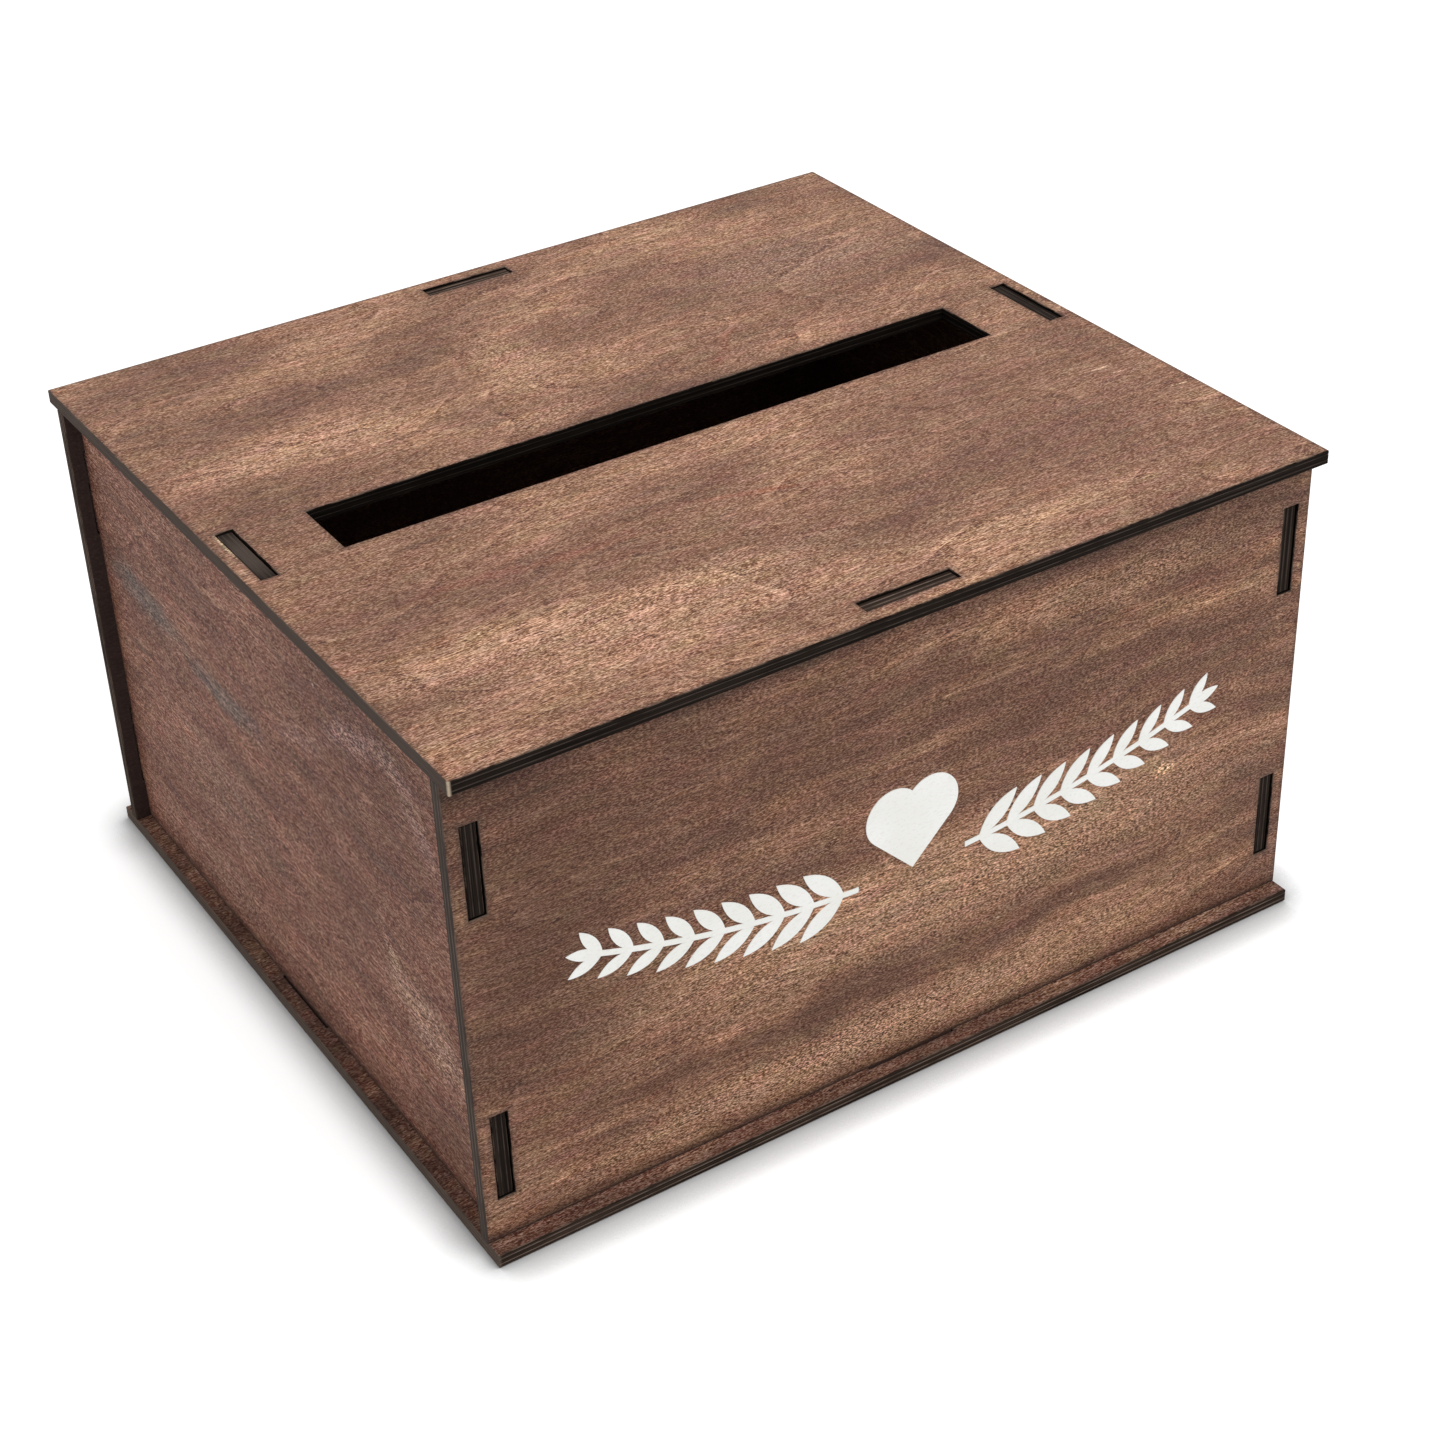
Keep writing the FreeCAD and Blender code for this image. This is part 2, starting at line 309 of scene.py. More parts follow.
def make_charred_plies():
    """Charcoal of a laser cut, with a paler line at each glue line and worn corners."""
    sizes = {"Vector": None, "Through": 0.5}
    group, given, out = new_group("charred_plies", sizes, ("Soot", "Glue", "Worn"))
    soot_lines = (22.0, 22.0, 2600.0)
    breaks = (120.0, 120.0, 120.0)
    line_fade, line_core = 0.055, 0.02
    corner_start, corner_full = 0.435, 0.465
    along_edge = vector_calc(group, "MULTIPLY", given["Vector"], soot_lines)
    group.links.new(noise(group, along_edge, 4.0, 0.65), out["Soot"])
    broken = noise(group, vector_calc(group, "MULTIPLY", given["Vector"], breaks), 3.0, 0.6)
    lines = 0.0
    for share in glue_lines:
        distance = calc(group, "ABSOLUTE", calc(group, "SUBTRACT", given["Through"], share))
        lines = calc(group, "ADD", ease(group, distance, line_fade, line_core), lines)
    group.links.new(calc(group, "MULTIPLY", lines, ease(group, broken, 0.3, 0.6, 0.25, 1.0)), out["Glue"])
    to_middle = calc(group, "ABSOLUTE", calc(group, "SUBTRACT", given["Through"], 0.5))
    corner = ease(group, to_middle, corner_start, corner_full)
    group.links.new(calc(group, "MULTIPLY", corner, ease(group, broken, 0.42, 0.62)), out["Worn"])
    return group


veneer_figure = make_veneer_figure()
fibre_flecks = make_fibre_flecks()
stain_and_light_mark = make_stain_and_light_mark()
dust_specks = make_dust_specks()
charred_plies = make_charred_plies()


def new_material(name):
    material = bpy.data.materials.new(name)
    material.use_nodes = True
    tree = material.node_tree
    return material, tree, tree.nodes["Principled BSDF"]


def place_group(tree, group, inputs):
    """Places a shader group in a material with its own values."""
    return put(tree, "ShaderNodeGroup", inputs, node_tree=group).outputs


def grain_coordinates(tree, layout):
    """Object coordinates in the order along the grain, across it and through the board."""
    place = put(tree, "ShaderNodeTexCoord").outputs["Object"]
    axes = put(tree, "ShaderNodeSeparateXYZ", {0: place}).outputs
    order = {number: axes["xyz".index(axis)] for number, axis in enumerate(layout)}
    return put(tree, "ShaderNodeCombineXYZ", order).outputs[0]


def stained_veneer(name, layout, shift, browns, patch, contrast, streaky, flecky, marks, tints):
    """Birch veneer under a thin brown stain. browns are its dark, middle and light tones, patch the length
    and width of its clouds in metres. contrast is the strength of its fibres, streaky that of its long
    streaks and flecky that of its finest flecks. Each mark is a patch in one of the tints: its place along
    and across the grain and half sizes in millimetres, its tilt in degrees, its tint and its strength."""
    cloud_sway = 0.03
    fine_line = 2
    mean_lift = 0.935
    fibre_levels = ((0.50, 0.055, 0.42), (0.61, 0.040, -0.34), (0.40, 0.040, -0.34))
    darkest_fleck, lightest_fleck = -0.065, 0.20
    fine_strength = 3.4 * contrast * flecky
    fine_loss = -0.9 * contrast * flecky
    medium_strength = 0.30 * contrast
    ring_strength = 0.22 * contrast
    lively_power = 1.4
    mottle_length, mottle_width = 0.014, 0.005
    hue_spread = 0.28
    speck_strength = 0.6 * contrast
    soot_strength = 0.40
    soot_tone = paint(58, 46, 42)
    material, tree, shader = new_material(name)
    grain = grain_coordinates(tree, layout)
    moved = vector_calc(tree, "ADD", grain, shift)
    patch_length, patch_width = patch
    figure = place_group(tree, veneer_figure, {"Vector": moved, "Patch Length": patch_length,
                         "Patch Width": patch_width, "Sway": cloud_sway})
    tone = put(tree, "ShaderNodeValToRGB", {0: figure["Tone"]})
    stops = tone.color_ramp.elements
    stops[0].position, stops[0].color = 0.30, browns[0]
    stops[1].position, stops[1].color = 0.70, browns[2]
    middle = stops.new(0.5)
    middle.color = browns[1]
    colour = tone.outputs["Color"]
    ragged = swayed(tree, swayed(tree, grain, 30.0, 0.013), 190.0, 0.005) if marks else None
    # Most marks are stain figure; some are painted shade or painted light.
    for along, across, half_length, half_width, tilt, tint, strength in marks:
        straight = half_width <= fine_line or half_length >= whole_board
        mark = place_group(tree, stain_and_light_mark, {"Vector": grain if straight else ragged,
                           "Along": along / 1000, "Across": across / 1000, "Half Length": half_length / 1000,
                           "Half Width": half_width / 1000, "Tilt": math.radians(tilt)})
        colour = blend_colour(tree, calc(tree, "MULTIPLY", mark["Mask"], strength), colour, tints[tint])
    fine = place_group(tree, fibre_flecks, {"Vector": moved, "Fleck Length": 0.0011, "Fleck Width": 0.00040,
                       "Wander": 0.0})
    medium = place_group(tree, fibre_flecks, {"Vector": moved, "Fleck Length": 0.0034, "Fleck Width": 0.0012,
                         "Wander": 0.6})
    golden = ease(tree, figure["Tone"], 0.40, 0.60)
    lift = calc(tree, "MULTIPLY_ADD", calc(tree, "SUBTRACT", figure["Streaks"], 0.5), streaky, mean_lift)
    colour = scaled(tree, colour, lift)
    fibre = 0.0
    for level, half, strength in fibre_levels:
        from_level = calc(tree, "ABSOLUTE", calc(tree, "SUBTRACT", figure["Fibres"], level))
        fibre = calc(tree, "ADD", ease(tree, from_level, half, 0.0, 0.0, strength * contrast), fibre)
    fibre = calc(tree, "MULTIPLY", fibre, calc(tree, "MULTIPLY_ADD", golden, 0.5, 0.5))
    held = calc(tree, "MAXIMUM", calc(tree, "SUBTRACT", fine["Fleck"], 0.5), darkest_fleck)
    held = calc(tree, "MINIMUM", held, lightest_fleck)
    fleck = calc(tree, "MULTIPLY", held, calc(tree, "MULTIPLY_ADD", golden, fine_loss, fine_strength))
    fleck = calc(tree, "MULTIPLY_ADD", calc(tree, "SUBTRACT", medium["Fleck"], 0.5), medium_strength, fleck)
    relief = calc(tree, "MULTIPLY_ADD", figure["Rings"], ring_strength, calc(tree, "ADD", fibre, fleck))
    brightness = put(tree, "ShaderNodeRGBToBW", {0: colour}).outputs[0]
    lively = calc(tree, "POWER", calc(tree, "DIVIDE", brightness, browns[1][1]), lively_power)
    fine_grain = scaled(tree, tints["fleck"][:3], calc(tree, "MULTIPLY", relief, lively))
    colour = vector_calc(tree, "ADD", colour, fine_grain)
    colour = vector_calc(tree, "MAXIMUM", colour, tints["pore"][:3])
    blotches = stretched(tree, moved, mottle_length, mottle_width)
    mottle = put(tree, "ShaderNodeTexNoise", {"Vector": blotches, "Scale": 1.0, "Detail": 2.0,
                 "Roughness": 0.6}).outputs["Color"]
    hue = put(tree, "ShaderNodeVectorMath", {0: mottle, 1: (hue_spread,) * 3,
              2: (1.0 - hue_spread / 2,) * 3}, operation="MULTIPLY_ADD")
    colour = vector_calc(tree, "MULTIPLY", colour, hue.outputs["Vector"])
    specks = place_group(tree, dust_specks, {"Vector": moved})
    speckled = calc(tree, "MULTIPLY", specks["Mask"], speck_strength)
    colour = blend_colour(tree, speckled, colour, tints["speck"])
    soot = put(tree, "ShaderNodeAttribute", attribute_name="soot").outputs["Fac"]
    colour = blend_colour(tree, calc(tree, "MULTIPLY", soot, soot_strength), colour, soot_tone)
    tree.links.new(colour, shader.inputs["Base Color"])
    tree.links.new(ease(tree, figure["Fibres"], 0.2, 0.8, 0.74, 0.58), shader.inputs["Roughness"])
    shader.inputs["Specular IOR Level"].default_value = 0.2
    bump = put(tree, "ShaderNodeBump", {"Height": relief, "Strength": 0.5, "Distance": 0.0002})
    tree.links.new(bump.outputs[0], shader.inputs["Normal"])
    return material


def charred_edge(name, layout, low, lightness, painted_light_places):
    """The cut edge of a board whose lower face, through the board, is at low. Each painted light place, in
    millimetres along and across the grain, is made paler in a tone of its own, as painted light."""
    dark, sooty, glue = [paint(*(value * lightness for value in tone))
                         for tone in ((20, 15, 12), (42, 34, 29), (82, 72, 66))]
    rubbed = paint(128, 108, 95)
    glue_strength = 0.6
    worn_strength = 0.50
    material, tree, shader = new_material(name)
    grain = grain_coordinates(tree, layout)
    height = put(tree, "ShaderNodeSeparateXYZ", {0: grain}).outputs[2]
    through = calc(tree, "DIVIDE", calc(tree, "SUBTRACT", height, low), ply)
    plies = place_group(tree, charred_plies, {"Vector": grain, "Through": through})
    colour = blend_colour(tree, ease(tree, plies["Soot"], 0.40, 0.70), dark, sooty)
    colour = blend_colour(tree, calc(tree, "MULTIPLY", plies["Glue"], glue_strength), colour, glue)
    colour = blend_colour(tree, calc(tree, "MULTIPLY", plies["Worn"], worn_strength), colour, rubbed)
    for along, across, half_length, half_width, tone, strength in painted_light_places:
        place = place_group(tree, stain_and_light_mark, {"Vector": grain, "Along": along / 1000,
                            "Across": across / 1000, "Half Length": half_length / 1000,
                            "Half Width": half_width / 1000})
        colour = blend_colour(tree, calc(tree, "MULTIPLY", place["Mask"], strength), colour, tone)
    tree.links.new(colour, shader.inputs["Base Color"])
    tree.links.new(ease(tree, plies["Soot"], 0.3, 0.7, 0.82, 0.6), shader.inputs["Roughness"])
    shader.inputs["Specular IOR Level"].default_value = 0.03
    bump = put(tree, "ShaderNodeBump", {"Height": plies["Soot"], "Strength": 0.5, "Distance": 0.0001})
    tree.links.new(bump.outputs[0], shader.inputs["Normal"])
    return material


def charred_edges(board_name, layout, low, lightness, painted_light_places=(), slot_shade_lightness=0.48):
    """The open edges of a board, and the walls of its slots, blacker as painted shade."""
    return (charred_edge(board_name + "_cut_edge", layout, low, lightness, painted_light_places),
            charred_edge(board_name + "_slot_edge", layout, low, slot_shade_lightness, ()))


base_browns = (paint(86, 58, 47), paint(114, 79, 63), paint(142, 103, 80))
base_tints = {"fleck": paint(110, 95, 86), "pore": paint(50, 33, 28),
              "speck": paint(226, 212, 198)}

base_outline = [(-half_width, -half_depth), (half_width, -half_depth), (half_width, half_depth),
                (-half_width, half_depth)]
base_veneer = stained_veneer("base_veneer", "xyz", (1.3, 0.4, 0.0), base_browns, patch=(0.06, 0.02),
                             contrast=1.4, streaky=1.0, flecky=1.2, marks=[], tints=base_tints)
# Painted light: the base's whole left edge is made paler than its other edges.
painted_light_edge = paint(112, 98, 90)
base_painted_light = [(base_low.x * 1000, 0, 1, whole_board, painted_light_edge, 0.45)]
base_board = cut_board("base_board", base_outline, wall_tab_slots(), base_low.z, base_high.z, "xyz",
                       (base_veneer, base_veneer),
                       charred_edges("base", "xyz", base_low.z, lightness=1.65, painted_light_places=base_painted_light))
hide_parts("base_panel")
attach(base_board, "base")

# Front and back walls: two like boards of stained plywood, as wide as the base, with the grain lying level.
# Upright slots near the ends take the side walls' tabs. One tab above and one below enter lid and base.

back_wall_low, back_wall_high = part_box("back_panel")
lid_low, lid_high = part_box("lid_panel")
wall_foot = base_high.z
wall_top = lid_low.z
wall_middle = (wall_foot + wall_top) / 2
side_tab_half = 0.029 / 2
side_tab_margin = 0.015
side_tab_rise = (wall_top - wall_foot) / 2 - side_tab_margin - side_tab_half


def level_edge(half_length, tab_tip, edge):
    """The lower or upper edge of a wall, left to right, with a tab at its middle."""
    return [(-half_length, edge), (-edge_tab_half, edge), (-edge_tab_half, tab_tip),
            (edge_tab_half, tab_tip), (edge_tab_half, edge), (half_length, edge)]


def front_or_back_wall(name, low, high, face_materials, edge_materials):
    outline = level_edge(half_width, low.z, wall_foot) + level_edge(half_width, high.z, wall_top)[::-1]
    slots = []
    for side in (-1, 1):
        for rise in (-side_tab_rise, side_tab_rise):
            slots.append(slot_loop(side * side_wall_middle, wall_middle + rise, ply / 2 + slot_side_gap,
                                   side_tab_half + slot_end_gap))
    return cut_board(name, outline, slots, low.y, high.y, "xzy", face_materials, edge_materials)


wall_browns = (paint(92, 63, 50), paint(124, 88, 69), paint(156, 115, 87))
wall_tints = {"dark": paint(91, 62, 48), "light": paint(160, 122, 95), "tan": paint(204, 164, 126),
              "painted_shade": paint(42, 31, 27), "fleck": paint(130, 105, 90), "pore": paint(56, 37, 32),
              "speck": paint(214, 186, 160)}
# Painted shade on the walls, in the darkest tint: a band under the lid's overhang at the top, and a soft
# band and a thin line along the foot where the wall meets the base.
under_lid = 160.6
foot_shade = (0, 4.5, whole_board, 4.0, 0, "painted_shade", 0.42)
foot_shadow_line = (0, 4.4, whole_board, 1.1, 0, "painted_shade", 0.92)
front_marks = [(-122, 100, 40, 66, 0, "dark", 0.80), (-60, 134, 60, 26, 0, "dark", 0.50),
               (20, 128, 90, 22, 0, "dark", 0.35), (79, 143, 54, 7, 2, "light", 0.45),
               (0, 62, 110, 22, -1, "light", 0.85), (72, 66, 64, 18, -2, "light", 0.65),
               (-101, 80, 38, 5, 0, "light", 0.25), (-38, 36, 70, 6, 1, "dark", 0.55),
               (66, 37, 40, 6, -2, "dark", 0.50), (-68, 17, 62, 7, 0, "light", 0.50),
               (12, 18, 108, 13, 1, "light", 0.85), (97, 69, 4.5, 2.6, 10, "tan", 0.80),
               (90, 58.6, 1.0, 1.8, 0, "tan", 0.75), (0, under_lid, whole_board, 7.5, 0, "painted_shade", 0.55),
               foot_shade, foot_shadow_line]
back_marks = [(-20, 120, 90, 18, 2, "dark", 0.45), (50, 60, 70, 14, -2, "light", 0.50),
              (-80, 40, 55, 10, 0, "dark", 0.45), (80, 110, 40, 8, 3, "light", 0.45), foot_shadow_line]

front_veneer = stained_veneer("front_veneer", "xzy", (0.2, 2.1, 0.0), wall_browns, patch=(0.11, 0.014),
                              contrast=0.95, streaky=0.85, flecky=1.6, marks=front_marks, tints=wall_tints)
inner_browns = (paint(86, 60, 49), paint(106, 76, 62), paint(128, 94, 77))
inner_tints = {"fleck": paint(104, 86, 76), "pore": paint(48, 33, 28), "speck": paint(150, 124, 106),
               "shade": paint(50, 37, 34)}
inner_wall_marks = [(side * place, 80, whole_board, 2.0, 90, "shade", 0.95) for side in (-1, 1)
                    for place in (141.8, 143.6, 145.6)]
inner_wall_veneer = stained_veneer("inner_wall_veneer", "xzy", (2.6, 1.1, 0.0), inner_browns,
                                   patch=(0.10, 0.02), contrast=0.8, streaky=0.8, flecky=1.2,
                                   marks=inner_wall_marks, tints=inner_tints)
# Painted light: the front wall's left end is made paler and greyer.
front_painted_light = [(front_wall_low.x * 1000, 80, 1, whole_board, paint(112, 104, 99), 0.22)]
front_wall = front_or_back_wall("front_wall", front_wall_low, front_wall_high,
                                (front_veneer, inner_wall_veneer),
                                charred_edges("front", "xzy", front_wall_low.y, lightness=1.75,
                                              painted_light_places=front_painted_light))
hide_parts("front_panel")
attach(front_wall, "walls")

back_veneer = stained_veneer("back_veneer", "xzy", (3.2, 0.7, 0.0), wall_browns, patch=(0.12, 0.016),
                             contrast=0.95, streaky=0.85, flecky=1.6, marks=back_marks, tints=wall_tints)
back_wall = front_or_back_wall("back_wall", back_wall_low, back_wall_high, (inner_wall_veneer, back_veneer),
                               charred_edges("back", "xzy", back_wall_low.y, lightness=1.9))
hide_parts("back_panel")
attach(back_wall, "walls")

# Side walls: two like boards of stained plywood between the front and back walls, the grain lying level.
# Two tabs at each end go through the front and back walls. One tab above and one below enter lid and base.

left_wall_low, left_wall_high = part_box("left_panel")
right_wall_low, right_wall_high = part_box("right_panel")


def side_wall(name, low, high, face_materials, edge_materials):
    half_length = -front_wall_high.y
    tip = high.y
    heights = []
    for rise in (-side_tab_rise, side_tab_rise):
        heights += [wall_middle + rise - side_tab_half, wall_middle + rise + side_tab_half]
    upright = []
    for number, height in enumerate(heights):
        corners = [(half_length, height), (tip, height)]
        upright += corners if number % 2 == 0 else corners[::-1]
    other_upright = [(-v, z) for v, z in upright][::-1]
    outline = (level_edge(half_length, low.z, wall_foot) + upright
               + level_edge(half_length, high.z, wall_top)[::-1] + other_upright)
    return cut_board(name, outline, [], low.x, high.x, "yzx", face_materials, edge_materials)


side_browns = (paint(107, 70, 53), paint(128, 84, 65), paint(149, 101, 79))
side_tints = {"dark": paint(96, 64, 51), "light": paint(142, 107, 89), "grey": paint(103, 89, 83),
              "pink": paint(144, 109, 101), "tan": paint(158, 122, 100), "painted_shade": paint(42, 31, 27),
              "fleck": paint(122, 102, 92), "pore": paint(60, 40, 35), "speck": paint(210, 184, 164)}
# The last three marks are painted shade: under the lid's overhang, and along the foot of the wall.
left_marks = [(-74, 136, 60, 22, 0, "dark", 0.50), (88, 107, 34, 8, 0, "grey", 0.85),
              (32, 103, 30, 6, 0, "grey", 0.85), (102, 84, 22, 2.2, 0, "dark", 0.75),
              (-28, 119, 24, 4.0, -20, "pink", 0.45),
              (-62, 137, 22, 5.5, -24, "pink", 0.75), (-88, 141, 14, 5.5, 12, "pink", 0.70),
              (-103, 126, 16, 6.5, 40, "pink", 0.60), (-70, 112, 46, 22, 0, "dark", 0.40),
              (-93, 56, 30, 13, 20, "tan", 0.80), (-76, 77, 10, 1.8, 20, "dark", 0.85),
              (-72, 70, 9, 3.0, 60, "tan", 0.80), (-47, 70, 26, 26, 0, "dark", 0.40),
              (-100, 22, 30, 17, 0, "dark", 0.65), (38, 59, 38, 20, 0, "light", 0.40),
              (82, 43, 42, 8, 0, "dark", 0.30), (60, 21, 62, 9, 0, "light", 0.35),
              (0, under_lid, whole_board, 7.5, 0, "painted_shade", 0.25), foot_shade, foot_shadow_line]
right_marks = [(-60, 112, 40, 9, 4, "grey", 0.55), (40, 70, 45, 14, -3, "light", 0.45),
               (70, 125, 30, 8, 0, "dark", 0.40), (-30, 40, 60, 12, 2, "dark", 0.35),
               (-80, 66, 24, 12, -8, "tan", 0.45), foot_shadow_line]

inner_side_veneer = stained_veneer("inner_side_veneer", "yzx", (1.9, 2.8, 0.0), inner_browns,
                                   patch=(0.10, 0.02), contrast=0.8, streaky=0.8, flecky=1.2, marks=[],
                                   tints=inner_tints)
left_veneer = stained_veneer("left_veneer", "yzx", (0.9, 1.6, 0.0), side_browns, patch=(0.08, 0.020),
                             contrast=1.25, streaky=1.0, flecky=1.35, marks=left_marks, tints=side_tints)
# Painted highlight on the top end of the left wall's upper tab.
left_tab_highlight = [(0, left_wall_high.z * 1000, 16, 3, painted_light_edge, 0.40)]
left_wall = side_wall("left_wall", left_wall_low, left_wall_high, (left_veneer, inner_side_veneer),
                      charred_edges("left", "yzx", left_wall_low.x, lightness=1.05, painted_light_places=left_tab_highlight))
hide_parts("left_panel")
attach(left_wall, "walls")

right_veneer = stained_veneer("right_veneer", "yzx", (2.4, 3.3, 0.0), side_browns, patch=(0.09, 0.020),
                              contrast=1.25, streaky=1.0, flecky=1.35, marks=right_marks, tints=side_tints)
right_wall = side_wall("right_wall", right_wall_low, right_wall_high, (inner_side_veneer, right_veneer),
                       charred_edges("right", "yzx", right_wall_low.x, lightness=1.15))
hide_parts("right_panel")
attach(right_wall, "walls")

# Ornament: thin matte white film, cut as a heart at the middle and a separate leafy spray to each side.
# It is pressed onto the face of the front wall with its own adhesive.

film_low, film_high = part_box("front_ornament")
film = film_high.y - film_low.y
heart_side = 0.019
heart_rise = 0.004
spray_radius = 0.340
spray_drop = 0.010
spray_near = 0.019
spray_far = 0.108
spray_middle = spray_radius - spray_drop
spray_start = math.asin(spray_near / spray_radius)
spray_end = math.asin(spray_far / spray_radius)


def heart_outline():
    """A square on its corner with a half circle on each upper side, anticlockwise from the tip."""
    lobe = heart_side / 2
    reach = heart_side / math.sqrt(2)
    steps = 28
    corners = [(0.0, heart_rise - reach)]
    for side, first_angle in ((1, -45), (-1, 45)):
        middle = Vector((side * reach / 2, heart_rise + reach / 2))
        for step in range(steps + (1 if side > 0 else 0)):
            angle = math.radians(first_angle + 180 * (step + (0 if side > 0 else 1)) / steps)
            corners.append((middle.x + lobe * math.cos(angle), middle.y + lobe * math.sin(angle)))
    return corners


def heart_mesh():
    solid = bmesh.new()
    back = [solid.verts.new((x, y, 0.0)) for x, y in heart_outline()]
    front = [solid.verts.new((x, y, film)) for x, y in heart_outline()]
    solid.faces.new(back[::-1])
    solid.faces.new(front)
    for number in range(len(back)):
        after = (number + 1) % len(back)
        solid.faces.new((back[number], back[after], front[after], front[number]))
    bmesh.ops.triangulate(solid, faces=[face for face in solid.faces if len(face.verts) > 4])
    mesh = bpy.data.meshes.new("leaf_ornament_heart")
    solid.to_mesh(mesh)
    solid.free()
    return mesh


def thick_film(tree, flat, thickness):
    """A flat outline given the film's thickness, closed at the back."""
    raised = put(tree, "GeometryNodeExtrudeMesh", {"Mesh": flat, "Offset": (0, 0, 1),
                 "Offset Scale": thickness, "Individual": False}, mode="FACES").outputs["Mesh"]
    back = put(tree, "GeometryNodeFlipFaces", {"Mesh": flat}).outputs[0]
    both = put(tree, "GeometryNodeJoinGeometry")
    tree.links.new(raised, both.inputs[0])
    tree.links.new(back, both.inputs[0])
    closed = put(tree, "GeometryNodeMergeByDistance", {"Geometry": both.outputs[0], "Distance": 1e-6})
    return closed.outputs[0]


def on_spray(tree, angle, radius, middle):
    """The place on the spray's circle at an angle from straight down."""
    x = calc(tree, "MULTIPLY", radius, calc(tree, "SINE", angle))
    y = calc(tree, "SUBTRACT", middle, calc(tree, "MULTIPLY", radius, calc(tree, "COSINE", angle)))
    return put(tree, "ShaderNodeCombineXYZ", {0: x, 1: y}).outputs[0]


def spray_stem(tree, given, side):
    """A narrow band along the spray's circle, on the right or the left."""
    stem_points = 41
    band = put(tree, "GeometryNodeMeshGrid", {"Size X": 1.0, "Size Y": 1.0, "Vertices X": stem_points,
               "Vertices Y": 2})
    position = put(tree, "GeometryNodeInputPosition").outputs[0]
    place = put(tree, "ShaderNodeSeparateXYZ", {0: position}).outputs
    share = calc(tree, "ADD", calc(tree, "MULTIPLY", place[0], side), 0.5)
    sweep = calc(tree, "SUBTRACT", given["End Angle"], given["Start Angle"])
    angle = calc(tree, "MULTIPLY", calc(tree, "MULTIPLY_ADD", share, sweep, given["Start Angle"]), side)
    from_circle = calc(tree, "MULTIPLY", place[1], given["Stem Width"])
    radius = calc(tree, "SUBTRACT", given["Spray Radius"], from_circle)
    flat = put(tree, "GeometryNodeSetPosition", {"Geometry": band.outputs["Mesh"],
               "Position": on_spray(tree, angle, radius, given["Spray Middle"])}).outputs[0]
    return thick_film(tree, flat, given["Film"])


def spray_leaf(tree, given):
    """One pointed leaf, one unit long: a circle drawn out to a point at each end."""
    leaf_points = 28
    disc = put(tree, "GeometryNodeMeshCircle", {"Vertices": leaf_points, "Radius": 1.0}, fill_type="NGON")
    position = put(tree, "GeometryNodeInputPosition").outputs[0]
    place = put(tree, "ShaderNodeSeparateXYZ", {0: position}).outputs
    x = calc(tree, "MULTIPLY_ADD", place[0], 0.5, 0.5)
    bow = calc(tree, "MULTIPLY", place[1], calc(tree, "ABSOLUTE", place[1]))
    y = calc(tree, "MULTIPLY", bow, given["Leaf Half Width"])
    flat = put(tree, "GeometryNodeSetPosition", {"Geometry": disc.outputs[0],
               "Position": put(tree, "ShaderNodeCombineXYZ", {0: x, 1: y}).outputs[0]}).outputs[0]
    return thick_film(tree, flat, given["Leaf Film"])


def spray_leaves(tree, given):
    """Pairs of leaves along both sprays, and one straight leaf at each end, from the number of each leaf."""
    layer_step = 0.08
    index = put(tree, "GeometryNodeInputIndex").outputs[0]
    paired = calc(tree, "MULTIPLY", given["Leaf Pairs"], 4.0)
    pair = calc(tree, "MINIMUM", calc(tree, "FLOOR", calc(tree, "DIVIDE", index, 4.0)),
                calc(tree, "SUBTRACT", given["Leaf Pairs"], 1.0))
    side = calc(tree, "MULTIPLY_ADD", calc(tree, "MODULO", index, 2.0), -2.0, 1.0)
    above = calc(tree, "FLOOR", calc(tree, "DIVIDE", calc(tree, "MODULO", index, 4.0), 2.0))
    lean = calc(tree, "MULTIPLY", calc(tree, "MULTIPLY_ADD", above, -2.0, 1.0),
                calc(tree, "LESS_THAN", index, paired))
    share = calc(tree, "DIVIDE", calc(tree, "ADD", pair, 0.5), given["Leaf Pairs"])
    sweep = calc(tree, "SUBTRACT", given["End Angle"], given["Start Angle"])
    angle = calc(tree, "MULTIPLY_ADD", share, sweep, given["Start Angle"])
    shortening = calc(tree, "SUBTRACT", given["Tip Leaf Length"], given["Leaf Length"])
    length = calc(tree, "MULTIPLY_ADD", share, shortening, given["Leaf Length"])
    points = put(tree, "GeometryNodePoints", {"Count": calc(tree, "ADD", paired, 2.0),
                 "Position": on_spray(tree, calc(tree, "MULTIPLY", angle, side), given["Spray Radius"],
                                      given["Spray Middle"])}).outputs[0]
    rise = calc(tree, "MULTIPLY_ADD", lean, given["Leaf Angle"], angle)
    mirrored = calc(tree, "SUBTRACT", math.pi, rise)
    on_right = calc(tree, "GREATER_THAN", side, 0.0)
    turn = calc(tree, "MULTIPLY_ADD", calc(tree, "SUBTRACT", rise, mirrored), on_right, mirrored)
    turned = put(tree, "ShaderNodeCombineXYZ", {2: turn}).outputs[0]
    layer = calc(tree, "MULTIPLY_ADD", lean, layer_step, 1.0)
    grown = put(tree, "ShaderNodeCombineXYZ", {0: length, 1: length, 2: layer}).outputs[0]
    leaf = spray_leaf(tree, given)
    leaves = put(tree, "GeometryNodeInstanceOnPoints", {"Points": points, "Instance": leaf,
                 "Rotation": turned, "Scale": grown}).outputs[0]
    return put(tree, "GeometryNodeRealizeInstances", {"Geometry": leaves}).outputs[0]


